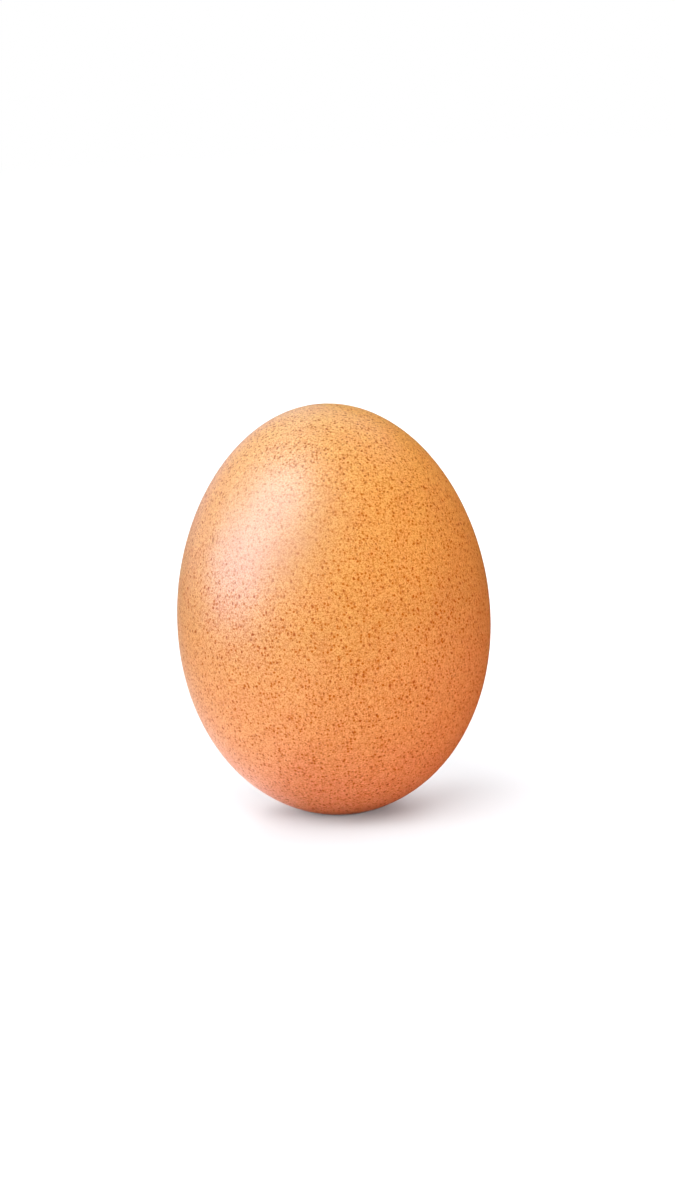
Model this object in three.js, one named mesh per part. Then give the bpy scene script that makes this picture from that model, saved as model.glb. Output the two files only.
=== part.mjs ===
// A hen's egg standing on its blunt end, in millimetres, +Z up.
//
// The origin is the centre of the small flat spot that the egg rests on, and +Z runs along
// the egg's long axis, from the blunt end to the pointed end. The egg is one solid of
// revolution about that axis.

import * as THREE from "three";

// Driving dimensions. Each one can be changed by itself.
const EGG_LENGTH = 57.5; // pole to pole, before the rest spot takes its sliver off the blunt end
const EGG_WIDTH = 43.5; // diameter at the widest level
const WIDEST_BELOW_MIDDLE = 1.45; // how far the widest level lies from the middle, towards the blunt end
const REST_SPOT_DIAMETER = 8; // the flat spot on the blunt end

// How finely the surface is faceted.
const SIDES = 72; // round the axis
const RINGS = 44; // from the rest spot to the pointed pole

const SHELL_COLOUR = "#e89a57";

const HALF_LENGTH = EGG_LENGTH / 2;

/**
 * The radius of the egg at a height above its middle. This is Hügelschäffer's egg curve: an
 * ellipse whose widest level is moved off the middle, so that one end turns out blunt and
 * the other pointed, with no joint in the curvature.
 */
function radiusAt(height) {
  const shift = WIDEST_BELOW_MIDDLE;
  const towardsPoles = EGG_LENGTH ** 2 - 4 * height ** 2;
  const skew = EGG_LENGTH ** 2 + 8 * shift * height + 4 * shift ** 2;
  return (EGG_WIDTH / 2) * Math.sqrt(Math.max(towardsPoles, 0) / skew);
}

/**
 * The height, above the egg's middle, at which the blunt end is as wide as the rest spot.
 * Between the blunt pole and the middle the radius only grows, so halving finds it.
 */
function restSpotHeight() {
  const halvings = 60;
  let low = -HALF_LENGTH;
  let high = 0;
  for (let i = 0; i < halvings; i++) {
    const middle = (low + high) / 2;
    if (radiusAt(middle) < REST_SPOT_DIAMETER / 2) low = middle;
    else high = middle;
  }
  return high;
}

/**
 * The outline that is spun about the axis: the centre of the rest spot, its rim, and the
 * curve up to the pointed pole. Rings are spaced by angle, so the facets stay alike in size.
 */
function eggOutline() {
  const floor = restSpotHeight();
  const startAngle = Math.acos(floor / HALF_LENGTH);
  const points = [new THREE.Vector2(0, 0)];
  for (let ring = 0; ring < RINGS; ring++) {
    const height = HALF_LENGTH * Math.cos(startAngle * (1 - ring / RINGS));
    points.push(new THREE.Vector2(radiusAt(height), height - floor));
  }
  points.push(new THREE.Vector2(0, HALF_LENGTH - floor));
  return points;
}

/** The egg as a closed mesh. A lathe spins about Y, so the result is stood up along Z. */
function makeEgg() {
  const geometry = new THREE.LatheGeometry(eggOutline(), SIDES);
  geometry.rotateX(Math.PI / 2);
  const material = new THREE.MeshStandardMaterial({ color: SHELL_COLOUR, roughness: 0.45, metalness: 0 });
  const egg = new THREE.Mesh(geometry, material);
  egg.name = "egg";
  return egg;
}

const part = new THREE.Group();
part.add(makeEgg());

export default part;
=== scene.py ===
"""A brown hen's egg standing on its blunt end, dressed and lit for a studio picture.

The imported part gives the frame: metres, +Z up, the origin at the centre of the rest spot.
The eggshell is built by a Geometry Nodes tree over the same curve as the part, and it stands
for the plain node "egg".
"""

import logging
import math
from dataclasses import dataclass, field
from enum import Enum

import bpy
from mathutils import Matrix, Vector


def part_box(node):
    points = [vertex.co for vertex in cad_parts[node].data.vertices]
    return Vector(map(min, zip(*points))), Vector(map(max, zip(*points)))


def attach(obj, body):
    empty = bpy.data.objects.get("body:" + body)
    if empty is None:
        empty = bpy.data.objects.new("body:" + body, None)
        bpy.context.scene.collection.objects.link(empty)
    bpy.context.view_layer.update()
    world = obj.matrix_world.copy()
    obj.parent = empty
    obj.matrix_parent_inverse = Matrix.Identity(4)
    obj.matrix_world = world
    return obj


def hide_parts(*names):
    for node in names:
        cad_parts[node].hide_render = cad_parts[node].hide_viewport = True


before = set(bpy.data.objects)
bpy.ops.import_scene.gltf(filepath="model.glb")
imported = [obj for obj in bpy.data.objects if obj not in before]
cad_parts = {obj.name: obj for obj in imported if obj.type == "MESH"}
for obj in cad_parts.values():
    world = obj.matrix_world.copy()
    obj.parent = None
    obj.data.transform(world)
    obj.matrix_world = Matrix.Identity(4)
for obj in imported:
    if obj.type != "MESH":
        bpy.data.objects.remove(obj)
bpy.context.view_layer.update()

Colour = tuple[float, float, float]
Vector3 = tuple[float, float, float]
Span = tuple[float, float]
Socket = bpy.types.NodeSocket
Value = float | Socket

MM = 0.001
WHITE: Colour = (1.0, 1.0, 1.0)
GOLD: Colour = (1.0, 0.5, 0.35)
COOL: Colour = (0.58, 0.88, 1.72)

log = logging.getLogger("egg")


class LampUse(Enum):
    """What a lamp does: it lights the egg, it lights the table, or it is only mirrored in the shell."""

    LIGHT = "light"
    TABLE = "table"
    SHINE = "shine"


class Wiring:
    """Adds nodes to one tree and joins them, so that a tree reads as a list of formulas."""

    def __init__(self, tree: bpy.types.NodeTree) -> None:
        """Takes the tree that the nodes go in."""
        self.tree = tree

    def add(self, kind: str, **settings: object) -> bpy.types.Node:
        """Adds a node.

        Args:
            kind: the node's type, such as "ShaderNodeMath".
            settings: the node's own properties, by name.

        Returns:
            The new node.
        """
        node = self.tree.nodes.new(kind)
        for name, value in settings.items():
            setattr(node, name, value)
        return node

    def feed(self, socket: Socket, value: object) -> None:
        """Joins an output to an input, or writes a plain value on it.

        Args:
            socket: the input.
            value: an output socket or a plain value.
        """
        if isinstance(value, Socket):
            self.tree.links.new(value, socket)
        else:
            socket.default_value = value

    def math(self, operation: str, *values: Value, clamp: bool = False) -> Socket:
        """Adds one step of arithmetic.

        Args:
            operation: the sum's name, such as "MULTIPLY".
            values: one to three numbers or sockets.
            clamp: whether the result is held between 0 and 1.

        Returns:
            The result's socket.
        """
        node = self.add("ShaderNodeMath", operation=operation, use_clamp=clamp)
        for socket, value in zip(node.inputs, values):
            self.feed(socket, value)
        return node.outputs[0]

    def vector(self, operation: str, *values: object, scale: Value | None = None) -> Socket:
        """Adds one step of vector arithmetic.

        Args:
            operation: the sum's name, such as "NORMALIZE".
            values: one or two vectors or sockets.
            scale: the factor, for "SCALE" only.

        Returns:
            The result's socket: a number for "LENGTH" and "DOT_PRODUCT", or else a vector.
        """
        node = self.add("ShaderNodeVectorMath", operation=operation)
        for socket, value in zip(node.inputs, values):
            self.feed(socket, value)
        if scale is not None:
            self.feed(node.inputs["Scale"], scale)
        wants_number = operation in ("LENGTH", "DOT_PRODUCT")
        return node.outputs["Value" if wants_number else "Vector"]

    def parts(self, vector: Socket) -> tuple[Socket, Socket, Socket]:
        """Splits a vector into its three numbers."""
        node = self.add("ShaderNodeSeparateXYZ")
        self.feed(node.inputs[0], vector)
        return node.outputs[0], node.outputs[1], node.outputs[2]

    def joined(self, x: Value, y: Value, z: Value) -> Socket:
        """Makes a vector from three numbers."""
        node = self.add("ShaderNodeCombineXYZ")
        for socket, value in zip(node.inputs, (x, y, z)):
            self.feed(socket, value)
        return node.outputs[0]

    def spread(
        self, value: Value, low: float, high: float, to_low: float = 0.0, to_high: float = 1.0
    ) -> Socket:
        """Carries the range low..high smoothly to to_low..to_high, and holds it there outside.

        Args:
            value: the number to carry.
            low: where the range starts.
            high: where it ends.
            to_low: the result at low.
            to_high: the result at high.

        Returns:
            The result's socket.
        """
        node = self.add("ShaderNodeMapRange", interpolation_type="SMOOTHSTEP")
        for name, number in (("Value", value), ("From Min", low), ("From Max", high)):
            self.feed(node.inputs[name], number)
        self.feed(node.inputs["To Min"], to_low)
        self.feed(node.inputs["To Max"], to_high)
        return node.outputs["Result"]

    def noise(self, at: Socket, size: Value, detail: float = 0.0, roughness: float = 0.5) -> Socket:
        """Adds soft noise, about 0 to 1.

        Args:
            at: where it is read, in metres.
            size: the width of its patches in metres.
            detail: how many finer layers it has.
            roughness: how strong the finer layers are.

        Returns:
            The noise's socket.
        """
        node = self.add("ShaderNodeTexNoise")
        self.feed(node.inputs["Vector"], at)
        per_metre = self.math("DIVIDE", 1.0, size) if isinstance(size, Socket) else 1 / size
        self.feed(node.inputs["Scale"], per_metre)
        self.feed(node.inputs["Detail"], detail)
        self.feed(node.inputs["Roughness"], roughness)
        return node.outputs[0]

    def blend(self, share: Value, first: object, second: object, how: str = "MIX") -> Socket:
        """Mixes two colours.

        Args:
            share: how much of the second there is, from 0 to 1.
            first: a colour or its socket.
            second: a colour or its socket.
            how: the kind of mix, such as "MIX" or "MULTIPLY".

        Returns:
            The mixed colour's socket.
        """
        node = self.add("ShaderNodeMix", data_type="RGBA", blend_type=how)
        ends = [s for s in node.inputs if s.type == "RGBA"]
        self.feed(node.inputs[0], share)
        for socket, colour in zip(ends, (first, second)):
            self.feed(socket, colour if isinstance(colour, Socket) else (*colour, 1.0))
        return next(s for s in node.outputs if s.type == "RGBA")


@dataclass(frozen=True)
class ShellColours:
    """A shell's colours, as linear red, green and blue.

    The blush and the grain are factors on the ground colour, and so is the highlight patch's tint, a
    painted highlight: a cooler, darker ground where the shell's long highlight falls.
    """

    # The four ground colours by height: partly the shell's pigment and partly painted light and shade
    # from the blunt end to the pointed end.
    blunt_end: Colour = (0.97, 0.41, 0.22)
    flank: Colour = (0.88, 0.43, 0.15)
    waist: Colour = (0.80, 0.42, 0.11)
    pointed_end: Colour = (0.97, 0.51, 0.11)
    blush: Colour = (0.93, 0.80, 0.86)
    grain_dark: Colour = (0.70, 0.52, 0.24)
    grain_light: Colour = (1.08, 1.26, 1.60)
    speck: Colour = (0.47, 0.115, 0.001)
    pore: Colour = (0.36, 0.065, 0.001)
    # Painted highlight: this tint cools and darkens the ground where the shell's long highlight falls.
    painted_highlight_tint: Colour = (0.72, 0.76, 0.86)


@dataclass(frozen=True)
class Specks:
    """One size of round brown specks. A high rarity leaves few dark ones among the faint."""

    cell: float
    radius: float
    rarity: float
    darkest: float


@dataclass(frozen=True)
class ShellFinish:
    """The eggshell's finish: pigment that drifts over the egg, specks, fine grain and bloom.

    The ground colour runs through four levels, given as shares of the height; the four colours are
    partly the shell's pigment and partly painted light and shade from top to bottom. A patch of
    painted highlight, where the shell's long highlight falls, has a cooler, darker ground and
    fainter marks, down to the patch's marks share of their strength in its core.
    """

    pigment: ShellColours = field(default_factory=ShellColours)
    height: float = 57.06 * MM
    levels: tuple[float, ...] = (0.0, 0.26, 0.55, 0.95)
    drift_size: float = 16 * MM
    drift_reach: float = 0.24
    blush_size: float = 3.5 * MM
    blush_span: Span = (0.42, 0.72)
    blush_share: float = 0.35
    grain_size: float = 0.20 * MM
    grain_span: Span = (0.25, 0.75)
    grain_depth: float = 0.002 * MM
    dimple_size: float = 0.55 * MM
    dimple_depth: float = 0.006 * MM
    fine_specks: Specks = Specks(cell=0.34 * MM, radius=0.44, rarity=1.8, darkest=0.85)
    coarse_specks: Specks = Specks(cell=0.52 * MM, radius=0.44, rarity=1.1, darkest=1.15)
    speck_most: float = 0.92
    # The painted highlight patch, placed where the shell's long highlight falls: fainter marks and a
    # cooler, darker ground.
    highlight_patch_middle: Vector3 = (-8.5 * MM, -15.5 * MM, 43.0 * MM)
    highlight_patch_core: float = 4.0 * MM
    highlight_patch_edge: float = 14.0 * MM
    highlight_patch_marks: float = 0.45
    roughness: float = 0.40
    roughness_change: float = 0.10
    sheen: float = 0.5
    sheen_lost_in_marks: float = 0.4
    bend: float = 1.5
    glow_share: float = 0.2
    glow_reach: Colour = (1.0, 0.25, 0.06)
    glow_depth: float = 3.0 * MM

    def material(self) -> bpy.types.Material:
        """Builds the shell's material.

        Returns:
            A material whose patterns are fixed to the egg.
        """
        made = bpy.data.materials.new("eggshell")
        made.use_nodes = True
        shader = made.node_tree.nodes["Principled BSDF"]
        wire = Wiring(made.node_tree)
        at = wire.add("ShaderNodeTexCoord").outputs["Object"]
        grain = wire.noise(at, self.grain_size, detail=1.0, roughness=0.6)
        # How strong the marks are: lower in the painted highlight patch.
        highlight_mark_fade = self._painted_highlight_fade(wire, at)
        specks, pores = self._marks(wire, at, highlight_mark_fade)
        colour = self._grained(wire, self._ground(wire, at), grain, highlight_mark_fade)
        colour = wire.blend(specks, colour, self.pigment.speck)
        colour = wire.blend(pores, colour, self.pigment.pore)
        marks = wire.math("MAXIMUM", specks, pores)
        sheen = wire.math("MULTIPLY_ADD", marks, -self.sheen_lost_in_marks, self.sheen, clamp=True)
        wire.feed(shader.inputs["Base Color"], colour)
        wire.feed(shader.inputs["Specular IOR Level"], sheen)
        wire.feed(shader.inputs["Roughness"], self._roughness(wire, at))
        wire.feed(shader.inputs["Normal"], self._relief(wire, at, grain))
        shader.inputs["IOR"].default_value = self.bend
        shader.inputs["Subsurface Weight"].default_value = self.glow_share
        shader.inputs["Subsurface Radius"].default_value = self.glow_reach
        shader.inputs["Subsurface Scale"].default_value = self.glow_depth
        return made

    def _ground(self, wire: Wiring, at: Socket) -> Socket:
        """Builds the ground colour, which changes with the height partly as pigment and partly as painted
        light and shade, and its blush patches.

        Args:
            wire: the material's tree.
            at: the place on the egg.

        Returns:
            The ground colour's socket.
        """
        drift = wire.noise(at, self.drift_size, detail=1.5)
        drift = wire.math("MULTIPLY_ADD", drift, self.drift_reach, -self.drift_reach / 2)
        level = wire.math("ADD", wire.math("DIVIDE", wire.parts(at)[2], self.height), drift)
        paint = self.pigment
        # These colours carry painted light and shade from top to bottom as well as pigment.
        colours = (paint.blunt_end, paint.flank, paint.waist, paint.pointed_end)
        ground = wire.add("ShaderNodeValToRGB")
        stops = ground.color_ramp.elements
        while len(stops) < len(colours):
            stops.new(0.5)
        for stop, place, colour in zip(stops, self.levels, colours):
            stop.position = place
            stop.color = (*colour, 1.0)
        wire.feed(ground.inputs[0], level)
        patches = wire.spread(wire.noise(at, self.blush_size, detail=3.0), *self.blush_span)
        blushed = wire.math("MULTIPLY", patches, self.blush_share)
        return wire.blend(blushed, ground.outputs[0], paint.blush, "MULTIPLY")

    def _grained(self, wire: Wiring, ground: Socket, grain: Socket, highlight_mark_fade: Socket) -> Socket:
        """Lays the light and dark grain over the ground colour, and in the painted highlight patch fades
        it into a cooler, darker tint.

        Args:
            wire: the material's tree.
            ground: the ground colour.
            grain: fine noise, about 0 to 1.
            highlight_mark_fade: how strong the marks are here.

        Returns:
            The grained colour's socket.
        """
        paint = self.pigment
        shade = wire.blend(wire.spread(grain, *self.grain_span), paint.grain_dark, paint.grain_light)
        painted_highlight_tint = wire.vector("MULTIPLY", ground, paint.painted_highlight_tint)
        return wire.blend(highlight_mark_fade, painted_highlight_tint, wire.vector("MULTIPLY", ground, shade))

    def _marks(self, wire: Wiring, at: Socket, highlight_mark_fade: Socket) -> tuple[Socket, Socket]:
        """Builds the dark marks, which are fainter in the painted highlight patch.

        Args:
            wire: the material's tree.
            at: the place on the egg.
            highlight_mark_fade: how strong the marks are here.

        Returns:
            How much of a speck and how much of a pore is here, each from 0 to 1.
        """
        fine = self._specks(wire, at, self.fine_specks)
        coarse = self._specks(wire, at, self.coarse_specks)
        specks = wire.math("MINIMUM", wire.math("MAXIMUM", fine, coarse), self.speck_most)
        pores = wire.add("ShaderNodeAttribute", attribute_name="pore").outputs["Fac"]
        return wire.math("MULTIPLY", specks, highlight_mark_fade), wire.math("MULTIPLY", pores, highlight_mark_fade)

    def _painted_highlight_fade(self, wire: Wiring, at: Socket) -> Socket:
        """Marks the patch of painted highlight, where the shell's long highlight falls and grain, specks
        and pores are fainter.

        Args:
            wire: the material's tree.
            at: the place on the egg.

        Returns:
            The socket of how strong the marks are, 1 outside the patch.
        """
        away = wire.vector("LENGTH", wire.vector("SUBTRACT", at, self.highlight_patch_middle))
        return wire.spread(away, self.highlight_patch_core, self.highlight_patch_edge, self.highlight_patch_marks, 1.0)

    def _specks(self, wire: Wiring, at: Socket, kind: Specks) -> Socket:
        """Scatters round specks of pigment, one in each cell.

        Args:
            wire: the material's tree.
            at: the place on the egg.
            kind: the specks' size and darkness; the radius is a share of the cell.

        Returns:
            The socket of how dark it is here: 0 between the specks.
        """
        cells = wire.add("ShaderNodeTexVoronoi")
        wire.feed(cells.inputs["Vector"], at)
        wire.feed(cells.inputs["Scale"], 1 / kind.cell)
        spot = wire.spread(cells.outputs["Distance"], kind.radius, kind.radius / 2)
        chance = wire.parts(cells.outputs["Color"])[0]
        strength = wire.math("MULTIPLY", wire.math("POWER", chance, kind.rarity), kind.darkest)
        return wire.math("MULTIPLY", spot, strength)

    def _roughness(self, wire: Wiring, at: Socket) -> Socket:
        """Builds the roughness of the bloom, in soft patches.

        Args:
            wire: the material's tree.
            at: the place on the egg.

        Returns:
            The roughness's socket.
        """
        patches = wire.noise(at, self.blush_size, detail=2.0)
        least = self.roughness - self.roughness_change / 2
        return wire.math("MULTIPLY_ADD", patches, self.roughness_change, least, clamp=True)

    def _relief(self, wire: Wiring, at: Socket, grain: Socket) -> Socket:
        """Builds the fine relief: shallow dimples under a fine grain.

        Args:
            wire: the material's tree.
            at: the place on the egg.
            grain: fine noise, about 0 to 1.

        Returns:
            The surface direction's socket.
        """
        dimples = wire.noise(at, self.dimple_size, detail=1.0)
        height = wire.math("MULTIPLY", dimples, self.dimple_depth)
        height = wire.math("MULTIPLY_ADD", grain, self.grain_depth, height)
        bump = wire.add("ShaderNodeBump")
        wire.feed(bump.inputs["Distance"], 1.0)
        wire.feed(bump.inputs["Height"], height)
        return bump.outputs[0]


@dataclass(frozen=True)
class FloorFinish:
    """A matt white table top.

    It throws warm light up at the egg (bounce), and looks a plain white that is only as bright as
    the lamps make it (shown), so that soft shadows show. What the shell mirrors of it is a glow on
    the window's side, from glow_starts out, strongest at glow_full and weaker by glow_fades. Far
    from the egg, where the lamps don't reach, it is plain white.
    """

    bounce: Colour = (0.28, 0.165, 0.125)
    shown: Colour = (0.345, 0.35, 0.36)
    glow: float = 1.5
    glow_far: float = 0.3
    glow_towards: Vector3 = (-1.0, 0.1, 0.0)
    glow_starts: float = 3 * MM
    glow_full: float = 18 * MM
    glow_fades: float = 110 * MM
    far_starts: float = 350 * MM
    far_full: float = 900 * MM

    def material(self) -> bpy.types.Material:
        """Builds the floor's material.

        Returns:
            A matt white material.
        """
        made = bpy.data.materials.new("white_table")
        made.use_nodes = True
        nodes = made.node_tree.nodes
        nodes.remove(nodes["Principled BSDF"])
        wire = Wiring(made.node_tree)
        ray = wire.add("ShaderNodeLightPath").outputs
        place = wire.add("ShaderNodeTexCoord").outputs["Object"]
        cloth = wire.add("ShaderNodeBsdfDiffuse")
        wire.feed(cloth.inputs["Color"], wire.blend(ray["Is Camera Ray"], self.bounce, self.shown))
        far = wire.spread(wire.vector("LENGTH", place), self.far_starts, self.far_full)
        far = wire.math("MULTIPLY", far, ray["Is Camera Ray"])
        white = wire.add("ShaderNodeEmission")
        seen = self._either(wire, far, cloth.outputs[0], white.outputs[0])
        mirrored = wire.add("ShaderNodeEmission")
        wire.feed(mirrored.inputs["Strength"], self._glow(wire, place))
        look = self._either(wire, ray["Is Glossy Ray"], seen, mirrored.outputs[0])
        wire.feed(nodes["Material Output"].inputs["Surface"], look)
        return made

    def _glow(self, wire: Wiring, place: Socket) -> Socket:
        """Builds the strength of the glow that the shell mirrors.

        Args:
            wire: the material's tree.
            place: the place on the table.

        Returns:
            The strength's socket.
        """
        across = wire.vector("DOT_PRODUCT", place, self.glow_towards)
        near = wire.spread(across, self.glow_starts, self.glow_full)
        level = wire.spread(across, self.glow_full, self.glow_fades, self.glow, self.glow_far)
        return wire.math("MULTIPLY", near, level)

    def _either(self, wire: Wiring, share: Socket, first: Socket, second: Socket) -> Socket:
        """Mixes two surfaces.

        Args:
            wire: the material's tree.
            share: how much of the second there is, from 0 to 1.
            first: a surface.
            second: a surface.

        Returns:
            The mixed surface's socket.
        """
        node = wire.add("ShaderNodeMixShader")
        for socket, value in zip(node.inputs, (share, first, second)):
            wire.feed(socket, value)
        return node.outputs[0]


@dataclass
class Eggshell:
    """The egg's outside, as one closed skin with real pores.

    The outline is an egg curve: its radius at a level h above the middle is
    width / 2 * sqrt((length^2 - 4 h^2) / (length^2 + 8 s h + 4 s^2)), where s is how far the
    widest level lies below the middle. A pore is three cells, one inside the other: its
    skirt, its rim and its bottom, and only the bottom is sunk.
    """

    length: float = 57.5 * MM
    width: float = 43.5 * MM
    widest_below_middle: float = 1.45 * MM
    rest_spot: float = 8.0 * MM
    rest_edge: float = 0.12 * MM
    ripple_height: float = 0.05 * MM
    ripple_size: float = 9.0 * MM
    ripple_middle: float = 0.62
    ripple_fade: float = 6 * MM
    cell_rings: int = 6
    cell_jitter: float = 0.009
    pore_share: float = 0.43
    pore_width: float = 0.24
    pore_depth: float = 0.020 * MM
    pore_sizes: Span = (0.65, 1.35)
    pore_darkness: Span = (0.5, 1.0)
    pore_wander: float = 0.22 * MM
    pore_lowest: float = 0.4 * MM
    pore_skirt: float = 1.6
    pore_bottom: float = 0.42
    pore_rim_darkness: float = 0.75
    seed: int = 11
    finish: ShellFinish = field(default_factory=ShellFinish)

    def rest_drop(self) -> float:
        """How far the rest spot lies below the middle, where the curve is as wide as the spot."""
        l2, w2, d2 = self.length**2, self.width**2, self.rest_spot**2
        s = self.widest_below_middle
        root = 4 * s**2 * d2**2 + w2 * (w2 * l2 - d2 * l2 - 4 * s**2 * d2)
        return (2 * s * d2 + math.sqrt(root)) / (2 * w2)

    def build(self) -> bpy.types.Object:
        """Makes the finished shell.

        Returns:
            The piece, a plain mesh in its place.
        """
        material = self.finish.material()
        values = {**self._sizes(), "Material": material}
        tree, sockets = self._tree(list(values))
        seedling = bpy.data.objects.new("shell_seed", bpy.data.meshes.new("shell_seed"))
        bpy.context.scene.collection.objects.link(seedling)
        modifier = seedling.modifiers.new("shell", "NODES")
        modifier.node_group = tree
        for name, value in values.items():
            modifier[sockets[name]] = value
        bpy.context.view_layer.update()
        graph = bpy.context.evaluated_depsgraph_get()
        mesh = bpy.data.meshes.new_from_object(seedling.evaluated_get(graph), depsgraph=graph)
        bpy.data.objects.remove(seedling)
        mesh.name = "eggshell"
        piece = bpy.data.objects.new("eggshell", mesh)
        bpy.context.scene.collection.objects.link(piece)
        return piece

    def _sizes(self) -> dict[str, float]:
        """Lists the tree's inputs that are numbers, and their values."""
        return {
            "Length": self.length,
            "Width": self.width,
            "Widest Below Middle": self.widest_below_middle,
            "Rest Drop": self.rest_drop(),
            "Rest Edge": self.rest_edge,
            "Ripple Height": self.ripple_height,
            "Ripple Size": self.ripple_size,
            "Cell Rings": self.cell_rings,
            "Cell Jitter": self.cell_jitter,
            "Pore Share": self.pore_share,
            "Pore Width": self.pore_width,
            "Pore Depth": self.pore_depth,
            "Seed": self.seed,
        }

    def _tree(self, names: list[str]) -> tuple[bpy.types.NodeTree, dict[str, str]]:
        """Builds the tree that grows the shell.

        Args:
            names: the tree's inputs.

        Returns:
            The tree, and each input's identifier by its name.
        """
        tree = bpy.data.node_groups.new("shell", "GeometryNodeTree")
        kinds = {"Cell Rings": "NodeSocketInt", "Seed": "NodeSocketInt", "Material": "NodeSocketMaterial"}
        sockets = {}
        for name in names:
            kind = kinds.get(name, "NodeSocketFloat")
            sockets[name] = tree.interface.new_socket(name, in_out="INPUT", socket_type=kind).identifier
        tree.interface.new_socket("Geometry", in_out="OUTPUT", socket_type="NodeSocketGeometry")
        wire = Wiring(tree)
        given = wire.add("NodeGroupInput").outputs
        skin = self._cells(wire, given)
        skin = self._shaped(wire, given, skin)
        skin = self._pored(wire, given, skin)
        smooth = wire.add("GeometryNodeSetShadeSmooth")
        wire.feed(smooth.inputs["Geometry"], skin)
        real = wire.add("GeometryNodeRealizeInstances")
        wire.feed(real.inputs["Geometry"], smooth.outputs[0])
        dressed = wire.add("GeometryNodeSetMaterial")
        wire.feed(dressed.inputs["Geometry"], real.outputs[0])
        wire.feed(dressed.inputs["Material"], given["Material"])
        wire.feed(wire.add("NodeGroupOutput").inputs[0], dressed.outputs[0])
        return tree, sockets

    def _cells(self, wire: Wiring, given: bpy.types.NodeOutputs) -> Socket:
        """Makes a ball of unit radius from thousands of uneven five- and six-sided cells.

        Args:
            wire: the shell's tree.
            given: the tree's inputs.

        Returns:
            The ball's socket.
        """
        ball = wire.add("GeometryNodeMeshIcoSphere")
        wire.feed(ball.inputs["Radius"], 1.0)
        wire.feed(ball.inputs["Subdivisions"], given["Cell Rings"])
        here = wire.add("GeometryNodeInputPosition").outputs[0]
        shift = self._random_step(wire, given["Cell Jitter"], given["Seed"])
        uneven = wire.add("GeometryNodeSetPosition")
        wire.feed(uneven.inputs["Geometry"], ball.outputs["Mesh"])
        wire.feed(uneven.inputs["Position"], wire.vector("NORMALIZE", wire.vector("ADD", here, shift)))
        cells = wire.add("GeometryNodeDualMesh")
        wire.feed(cells.inputs[0], uneven.outputs[0])
        even = wire.add("GeometryNodeSetPosition")
        wire.feed(even.inputs["Geometry"], cells.outputs[0])
        wire.feed(even.inputs["Position"], wire.vector("NORMALIZE", here))
        return even.outputs[0]

    def _random_step(self, wire: Wiring, reach: Value, seed: Value) -> Socket:
        """Makes a random step for each element.

        Args:
            wire: the shell's tree.
            reach: the longest step along each axis.
            seed: what fixes the steps.

        Returns:
            The step's socket.
        """
        dice = wire.add("FunctionNodeRandomValue", data_type="FLOAT_VECTOR")
        wire.feed(dice.inputs["Min"], (-1.0, -1.0, -1.0))
        wire.feed(dice.inputs["Max"], (1.0, 1.0, 1.0))
        wire.feed(dice.inputs["Seed"], seed)
        return wire.vector("SCALE", dice.outputs[0], scale=reach)

    def _shaped(self, wire: Wiring, given: bpy.types.NodeOutputs, ball: Socket) -> Socket:
        """Draws the ball out to the egg curve, ripples it and flattens it where it rests.

        Args:
            wire: the shell's tree.
            given: the tree's inputs.
            ball: the ball of cells.

        Returns:
            The egg's socket.
        """
        here = wire.add("GeometryNodeInputPosition").outputs[0]
        x, y, z = wire.parts(here)
        length, skew = given["Length"], given["Widest Below Middle"]
        level = wire.math("MULTIPLY", z, wire.math("MULTIPLY", length, 0.5))
        under = wire.math("MULTIPLY", length, length)
        under = wire.math("ADD", under, wire.math("MULTIPLY", wire.math("MULTIPLY", skew, 8.0), level))
        under = wire.math("ADD", under, wire.math("MULTIPLY", wire.math("MULTIPLY", skew, skew), 4.0))
        girth = wire.math("MULTIPLY", wire.math("MULTIPLY", given["Width"], 0.5), length)
        girth = wire.math("DIVIDE", girth, wire.math("SQRT", under))
        rise = wire.math("ADD", level, given["Rest Drop"])
        place = wire.joined(wire.math("MULTIPLY", x, girth), wire.math("MULTIPLY", y, girth), rise)
        ripple = wire.noise(place, given["Ripple Size"], detail=1.5)
        ripple = wire.math("SUBTRACT", ripple, self.ripple_middle)
        ripple = wire.math("MULTIPLY", ripple, given["Ripple Height"])
        ripple = wire.math("MULTIPLY", ripple, wire.spread(rise, 0.0, self.ripple_fade))
        place = wire.vector("ADD", place, wire.vector("SCALE", here, scale=ripple))
        x, y, z = wire.parts(place)
        flat = wire.math("SMOOTH_MAX", z, 0.0, given["Rest Edge"])
        egg = wire.add("GeometryNodeSetPosition")
        wire.feed(egg.inputs["Geometry"], ball)
        wire.feed(egg.inputs["Position"], wire.joined(x, y, flat))
        return egg.outputs[0]

    def _pored(self, wire: Wiring, given: bpy.types.NodeOutputs, egg: Socket) -> Socket:
        """Sinks a pore into some of the cells, and marks how dark each one is as "pore".

        Args:
            wire: the shell's tree.
            given: the tree's inputs.
            egg: the egg's skin.

        Returns:
            The pored skin's socket.
        """
        kept, chosen = self._pore_plan(wire, given, egg)
        away = wire.add("GeometryNodeInputNormal").outputs[0]
        drift = self._random_step(wire, self.pore_wander, wire.math("ADD", given["Seed"], 4.0))
        lifted = wire.vector("SCALE", away, scale=wire.vector("DOT_PRODUCT", drift, away))
        drift = wire.vector("SUBTRACT", drift, lifted)
        rim = wire.math("MULTIPLY", given["Pore Width"], kept["size"])
        skirt = wire.math("MULTIPLY", rim, self.pore_skirt)
        skin, top = self._ring(wire, kept["Geometry"], chosen, skirt, drift)
        skin, top = self._ring(wire, skin, top, 1 / self.pore_skirt, None)
        skin = self._marked(wire, skin, top, wire.math("MULTIPLY", kept["dark"], self.pore_rim_darkness))
        skin, top = self._ring(wire, skin, top, self.pore_bottom, None)
        skin = self._marked(wire, skin, top, kept["dark"])
        depth = wire.math("MULTIPLY", given["Pore Depth"], kept["size"])
        sink = wire.add("GeometryNodeSetPosition")
        wire.feed(sink.inputs["Geometry"], skin)
        wire.feed(sink.inputs["Selection"], top)
        inward = wire.vector("SCALE", away, scale=wire.math("MULTIPLY", depth, -1.0))
        wire.feed(sink.inputs["Offset"], inward)
        return sink.outputs[0]

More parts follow.
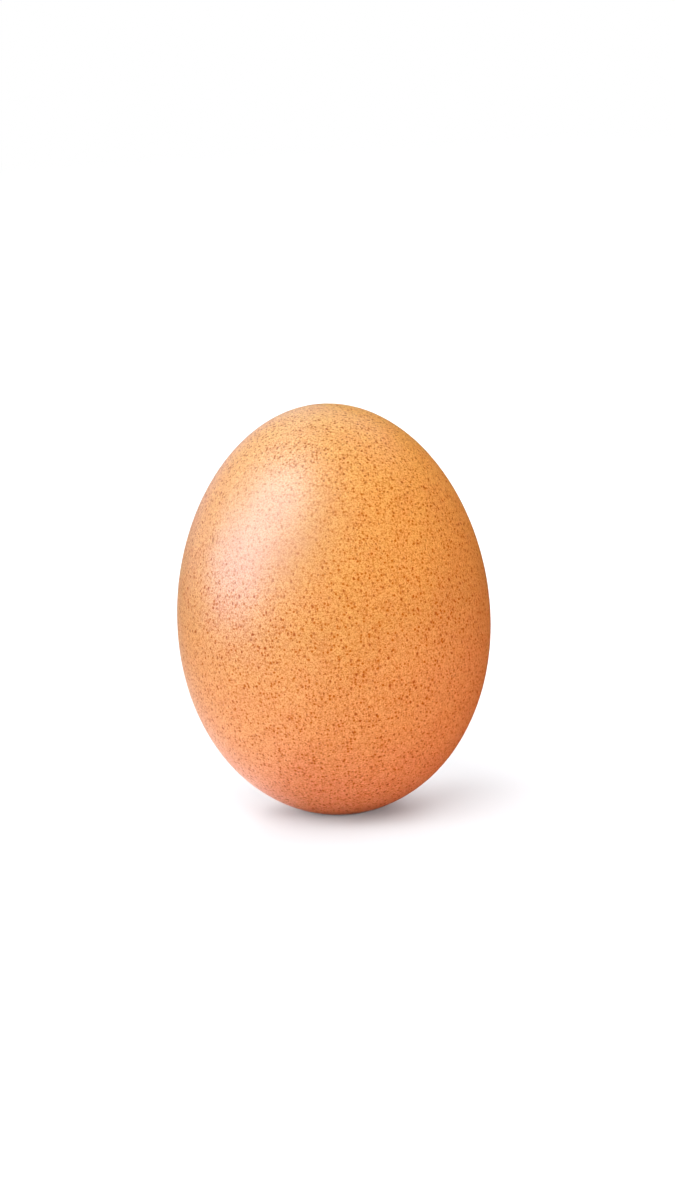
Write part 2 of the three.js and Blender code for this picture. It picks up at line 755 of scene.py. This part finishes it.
    def _pore_plan(
        self, wire: Wiring, given: bpy.types.NodeOutputs, egg: Socket
    ) -> tuple[bpy.types.NodeOutputs, Socket]:
        """Draws lots for the cells: which ones get a pore, and how wide and dark each one is.

        Args:
            wire: the shell's tree.
            given: the tree's inputs.
            egg: the egg's skin.

        Returns:
            The outputs that hold the skin, each cell's "size" and its "dark", and which cells get
            a pore.
        """
        chance = wire.add("FunctionNodeRandomValue", data_type="BOOLEAN")
        wire.feed(chance.inputs["Probability"], given["Pore Share"])
        wire.feed(chance.inputs["Seed"], wire.math("ADD", given["Seed"], 1.0))
        here = wire.add("GeometryNodeInputPosition").outputs[0]
        chosen = wire.add("FunctionNodeBooleanMath", operation="AND")
        wire.feed(chosen.inputs[0], chance.outputs["Value"])
        wire.feed(chosen.inputs[1], wire.math("GREATER_THAN", wire.parts(here)[2], self.pore_lowest))
        unmarked = wire.add("GeometryNodeStoreNamedAttribute", data_type="FLOAT", domain="POINT")
        wire.feed(unmarked.inputs["Geometry"], egg)
        wire.feed(unmarked.inputs["Name"], "pore")
        wire.feed(unmarked.inputs["Value"], 0.0)
        kept = wire.add("GeometryNodeCaptureAttribute", domain="FACE")
        wire.feed(kept.inputs["Geometry"], unmarked.outputs[0])
        lots = (("size", self.pore_sizes, 2.0), ("dark", self.pore_darkness, 3.0))
        for name, (least, most), step in lots:
            kept.capture_items.new("FLOAT", name)
            lot = wire.add("FunctionNodeRandomValue", data_type="FLOAT")
            wire.feed(lot.inputs["Min"], least)
            wire.feed(lot.inputs["Max"], most)
            wire.feed(lot.inputs["Seed"], wire.math("ADD", given["Seed"], step))
            wire.feed(kept.inputs[name], lot.outputs["Value"])
        return kept.outputs, chosen.outputs[0]

    def _ring(
        self, wire: Wiring, skin: Socket, chosen: Socket, share: Value, drift: Socket | None
    ) -> tuple[Socket, Socket]:
        """Cuts a smaller cell inside each chosen one.

        Args:
            wire: the shell's tree.
            skin: the egg's skin.
            chosen: which cells are cut.
            share: the inner cell's width as a share of the outer one's.
            drift: how far the inner cell is pulled to one side, or None.

        Returns:
            The new skin, and which of its cells are the inner ones.
        """
        cut = wire.add("GeometryNodeExtrudeMesh", mode="FACES")
        wire.feed(cut.inputs["Mesh"], skin)
        wire.feed(cut.inputs["Selection"], chosen)
        wire.feed(cut.inputs["Offset Scale"], 0.0)
        wire.feed(cut.inputs["Individual"], True)
        small = wire.add("GeometryNodeScaleElements", domain="FACE")
        wire.feed(small.inputs["Geometry"], cut.outputs["Mesh"])
        wire.feed(small.inputs["Selection"], cut.outputs["Top"])
        wire.feed(small.inputs["Scale"], share)
        if drift is not None:
            here = wire.add("GeometryNodeInputPosition").outputs[0]
            wire.feed(small.inputs["Center"], wire.vector("ADD", here, drift))
        return small.outputs[0], cut.outputs["Top"]

    def _marked(self, wire: Wiring, skin: Socket, chosen: Socket, value: Socket) -> Socket:
        """Writes how dark the chosen cells' corners are.

        Args:
            wire: the shell's tree.
            skin: the egg's skin.
            chosen: which cells are marked.
            value: how dark they are, from 0 to 1.

        Returns:
            The marked skin's socket.
        """
        store = wire.add("GeometryNodeStoreNamedAttribute", data_type="FLOAT", domain="POINT")
        wire.feed(store.inputs["Geometry"], skin)
        wire.feed(store.inputs["Selection"], chosen)
        wire.feed(store.inputs["Name"], "pore")
        wire.feed(store.inputs["Value"], value)
        return store.outputs[0]


@dataclass
class Lamp:
    """One soft oval lamp, aimed at the egg.

    Its place is an angle round from the front (side), an angle up (rise) and a distance. The
    turn tilts its oval.
    """

    name: str
    side: float
    rise: float
    width: float
    height: float
    power: float
    use: LampUse = LampUse.LIGHT
    colour: Colour = WHITE
    turn: float = 0.0
    distance: float = 1.6

    def build(self, aim: Vector, lit: bpy.types.Collection) -> bpy.types.Object:
        """Makes the lamp.

        Args:
            aim: the point that it faces.
            lit: the only things that it lights.

        Returns:
            The lamp's object.
        """
        side, rise = math.radians(self.side), math.radians(self.rise)
        level = math.cos(rise)
        away = Vector((math.sin(side) * level, -math.cos(side) * level, math.sin(rise)))
        light = bpy.data.lights.new(self.name, "AREA")
        light.shape = "ELLIPSE"
        light.size, light.size_y = self.width, self.height
        light.energy = self.power
        light.color = self.colour
        lamp = bpy.data.objects.new(self.name, light)
        lamp.visible_glossy = self.use is LampUse.SHINE
        lamp.visible_diffuse = self.use is not LampUse.SHINE
        lamp.light_linking.receiver_collection = lit
        bpy.context.scene.collection.objects.link(lamp)
        place = Matrix.Translation(aim + away * self.distance)
        facing = away.to_track_quat("Z", "Y").to_matrix().to_4x4()
        lamp.matrix_world = place @ facing @ Matrix.Rotation(math.radians(self.turn), 4, "Z")
        return lamp


@dataclass
class Studio:
    """A white table, soft lamps and the camera.

    The egg's light, the table's light and the shine on the shell come from separate lamps, so
    each can be set without changing the others.
    """

    floor_width: float = 8.0
    floor_drop: float = 0.05 * MM
    lens: float = 151.4
    film: float = 36.0
    distance: float = 0.7
    elevation: float = 11.0
    roll: float = 3.03
    aim_right: float = 0.58 * MM
    aim_up: float = 1.30 * MM
    floor: FloorFinish = field(default_factory=FloorFinish)
    lamps: tuple[Lamp, ...] = (
        Lamp("front", -28.0, 8.0, 1.4, 1.2, 16.5),
        Lamp("top_front", -14.0, 50.0, 1.4, 1.2, 11.5),
        Lamp("window", -98.0, 6.0, 1.4, 1.2, 9.5),
        Lamp("gold_card", 72.0, 3.0, 1.4, 0.4, 12.5, colour=GOLD),
        Lamp("zenith", 60.0, 82.0, 1.6, 1.4, 6.5),
        Lamp("back", 172.0, 42.0, 1.4, 1.2, 17.5),
        Lamp("table_front", -28.0, 8.0, 1.4, 1.2, 50.0, LampUse.TABLE),
        Lamp("table_right", 28.0, 6.0, 1.4, 1.2, 90.0, LampUse.TABLE),
        Lamp("table_window", -90.0, 15.0, 1.4, 1.2, 55.0, LampUse.TABLE),
        Lamp("table_top_front", -20.0, 50.0, 1.4, 1.2, 35.0, LampUse.TABLE),
        Lamp("table_top_right", 90.0, 50.0, 1.4, 1.2, 15.0, LampUse.TABLE),
        Lamp("table_back", 180.0, 30.0, 1.4, 1.2, 30.0, LampUse.TABLE),
        Lamp("table_back_left", -130.0, 40.0, 1.4, 1.2, 25.0, LampUse.TABLE),
        Lamp("table_back_right", 145.0, 28.0, 1.4, 1.0, 20.0, LampUse.TABLE),
        Lamp("window_shine", -61.0, 43.0, 1.1, 1.65, 27.5, LampUse.SHINE, COOL, turn=-14.0),
        Lamp("high_shine", -62.0, 52.0, 1.2, 1.2, 10.0, LampUse.SHINE, COOL),
        Lamp("side_shine", -81.0, 44.0, 2.4, 2.8, 26.0, LampUse.SHINE, COOL, turn=13.0),
        Lamp("low_shine", -79.0, 12.0, 1.6, 1.0, 18.5, LampUse.SHINE, COOL),
        Lamp("back_shine", -140.0, 26.0, 2.5, 2.0, 9.0, LampUse.SHINE, COOL, turn=12.0),
        Lamp("top_shine", 155.0, 63.0, 2.4, 1.6, 7.0, LampUse.SHINE, COOL),
    )

    def build(self, piece: bpy.types.Object, middle: Vector) -> None:
        """Makes the floor, the lamps, the dark room and the camera.

        Args:
            piece: the egg.
            middle: the egg's middle.
        """
        targets = {LampUse.LIGHT: piece, LampUse.TABLE: self._floor(), LampUse.SHINE: piece}
        lit = {}
        for use, target in targets.items():
            lit[use] = bpy.data.collections.new(f"lit_by_{use.value}")
            lit[use].objects.link(target)
        for lamp in self.lamps:
            lamp.build(middle, lit[lamp.use])
        self._room()
        self._camera(middle)
        bpy.context.scene.view_settings.view_transform = "Standard"

    def _floor(self) -> bpy.types.Object:
        """Lays the table top just under the rest spot.

        Returns:
            The table top.
        """
        half = self.floor_width / 2
        corners = [(-half, -half), (half, -half), (half, half), (-half, half)]
        mesh = bpy.data.meshes.new("table_top")
        mesh.from_pydata([(x, y, -self.floor_drop) for x, y in corners], [], [(0, 1, 2, 3)])
        mesh.materials.append(self.floor.material())
        table = bpy.data.objects.new("table_top", mesh)
        bpy.context.scene.collection.objects.link(table)
        return table

    def _room(self) -> None:
        """Leaves the room dark, so that only the lamps and the table give light."""
        world = bpy.data.worlds.new("room")
        world.use_nodes = True
        world.node_tree.nodes["Background"].inputs["Strength"].default_value = 0.0
        bpy.context.scene.world = world

    def _camera(self, middle: Vector) -> None:
        """Puts the camera in front of the egg, a little above it.

        Args:
            middle: the egg's middle.
        """
        rise, roll = math.radians(self.elevation), math.radians(self.roll)
        back = Vector((0.0, -math.cos(rise), math.sin(rise)))
        level = Vector((1.0, 0.0, 0.0))
        upright = back.cross(level)
        right = math.cos(roll) * level - math.sin(roll) * upright
        up = math.sin(roll) * level + math.cos(roll) * upright
        place = middle + back * self.distance + right * self.aim_right + up * self.aim_up
        data = bpy.data.cameras.new("camera")
        data.lens = self.lens
        data.sensor_width = self.film
        data.clip_start, data.clip_end = 0.01, 50.0
        camera = bpy.data.objects.new("camera", data)
        turn = Matrix((right, up, back)).transposed().to_4x4()
        camera.matrix_world = Matrix.Translation(place) @ turn
        bpy.context.scene.collection.objects.link(camera)
        bpy.context.scene.camera = camera


def report(piece: bpy.types.Object) -> None:
    """Logs a piece's size.

    Args:
        piece: the finished piece.
    """
    mesh = piece.data
    mesh.calc_loop_triangles()
    size = ", ".join(f"{side / MM:.2f}" for side in piece.dimensions)
    log.info("%s: %d triangles, %s mm", piece.name, len(mesh.loop_triangles), size)


def main() -> None:
    """Builds the egg and its studio."""
    logging.basicConfig(level=logging.INFO, format="%(name)s: %(message)s")
    low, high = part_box("egg")
    shell = Eggshell()
    piece = shell.build()
    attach(piece, "root")
    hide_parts("egg")
    report(piece)
    Studio().build(piece, Vector((0.0, 0.0, low.z + shell.rest_drop())))
    log.info("CAD node egg is %.2f mm tall", (high.z - low.z) / MM)


if __name__ == "__main__":
    main()
